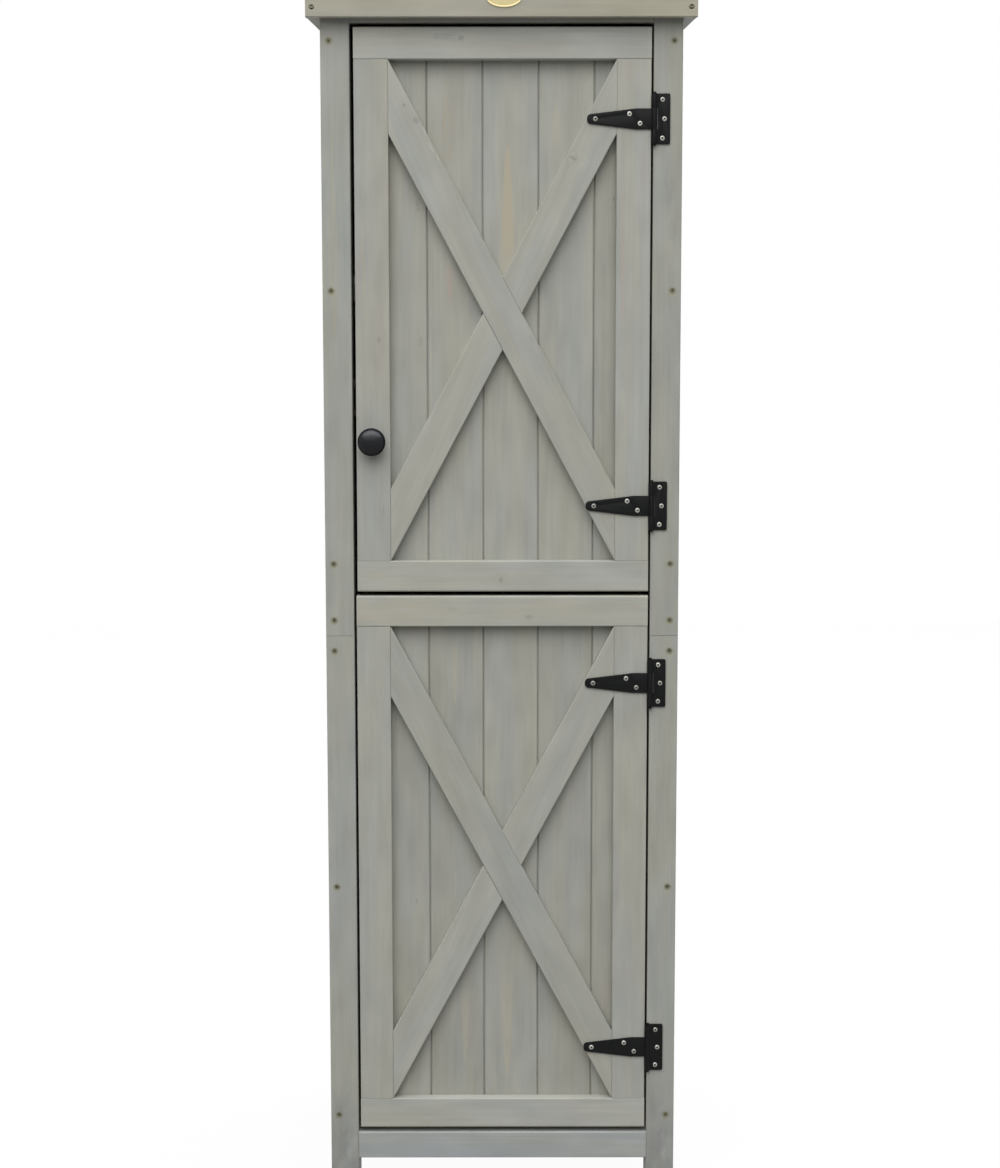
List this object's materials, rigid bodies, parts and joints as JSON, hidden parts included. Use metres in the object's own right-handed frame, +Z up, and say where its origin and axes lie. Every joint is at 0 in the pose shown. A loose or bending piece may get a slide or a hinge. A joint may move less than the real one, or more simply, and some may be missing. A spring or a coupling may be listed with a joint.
{
  "type": "garden storage cabinet",
  "caption": "Tall narrow free-standing wooden cabinet with a pent felt roof, side-hung braced doors on T-hinges, inner shelves and legs.",
  "frame": {"origin": "bottom centre of the whole cabinet's box, on the floor", "axes": "+Z up, the doors face -Y, the hinges are on the +X side"},
  "size_m": [0.497, 0.4258, 1.6381],
  "materials": {
    "post_wood": "grey translucent stain on fir, matt",
    "plinth_wood": "grey translucent stain on fir, a little cooler, matt",
    "door_wood": "grey translucent stain on fir, matt",
    "panel_wood": "grey translucent stain on fir boards, matt",
    "fascia_wood": "grey translucent stain on fir, a little warmer, matt",
    "roof_wood": "grey translucent stain on fir, matt",
    "inner_wood": "grey translucent stain on fir, thinner coat, matt",
    "roofing_felt": "mineral bitumen felt, rough",
    "plain_brass": "pale brass, satin, blank",
    "black_iron": "black powder coat, satin",
    "zinc_screw": "zinc plated steel",
    "dark_screw": "dull countersunk steel",
    "catch_plastic": "brown moulded plastic",
    "black_knob": "black lacquer, satin"
  },
  "bodies": {
    "cabinet": {"roof_fascia": "fascia_wood", "roof_bargeboard_left": "roof_wood", "roof_bargeboard_right": "roof_wood", "roof_back_board": "roof_wood", "roof_deck_boards": "inner_wood", "front_top_rail": "post_wood", "front_plinth_rail": "plinth_wood", "back_rails": "post_wood", "back_boards": "panel_wood", "floor_bottom": "inner_wood", "shelf_lower": "inner_wood", "floor_middle": "inner_wood", "shelf_upper": "inner_wood", "shelf_battens": "inner_wood", "front_post_left_lower": "post_wood", "front_post_left_upper": "post_wood", "front_post_right_lower": "post_wood", "front_post_right_upper": "post_wood", "rear_post_left_lower": "post_wood", "rear_post_left_upper": "post_wood", "rear_post_right_lower": "post_wood", "rear_post_right_upper": "post_wood", "side_rails_left_lower": "post_wood", "side_boards_left_lower": "panel_wood", "side_rails_left_upper": "post_wood", "side_boards_left_upper": "panel_wood", "side_rails_right_lower": "post_wood", "side_boards_right_lower": "panel_wood", "side_rails_right_upper": "post_wood", "side_boards_right_upper": "panel_wood", "roof_felt": "roofing_felt", "roof_plate": "plain_brass", "hinge_plates": "black_iron", "hinge_pins": "black_iron", "hinge_plate_screws": "zinc_screw", "frame_screws": "dark_screw", "magnetic_catches": "catch_plastic"},
    "upper_door": {"upper_door_rail_top": "door_wood", "upper_door_rail_bottom": "door_wood", "upper_door_stile_latch": "door_wood", "upper_door_stile_hinge": "door_wood", "upper_door_brace_full": "door_wood", "upper_door_brace_halves": "door_wood", "upper_door_boards": "panel_wood", "upper_door_strike_plate": "zinc_screw", "upper_door_hinge_straps": "black_iron", "upper_door_strap_screws": "zinc_screw", "door_knob": "black_knob", "knob_screw": "zinc_screw"},
    "lower_door": {"lower_door_rail_top": "door_wood", "lower_door_rail_bottom": "door_wood", "lower_door_stile_latch": "door_wood", "lower_door_stile_hinge": "door_wood", "lower_door_brace_full": "door_wood", "lower_door_brace_halves": "door_wood", "lower_door_boards": "panel_wood", "lower_door_strike_plate": "zinc_screw", "lower_door_hinge_straps": "black_iron", "lower_door_strap_screws": "zinc_screw"}
  },
  "joints": [
    {"name": "upper_door_hinge", "type": "hinge", "parent": "cabinet", "child": "upper_door", "pos_m": [0.1938, -0.19109, 1.1736], "axis": [0, 0, 1], "range_deg": [0, 180]},
    {"name": "lower_door_hinge", "type": "hinge", "parent": "cabinet", "child": "lower_door", "pos_m": [0.1938, -0.19109, 0.449], "axis": [0, 0, 1], "range_deg": [0, 180]}
  ]
}
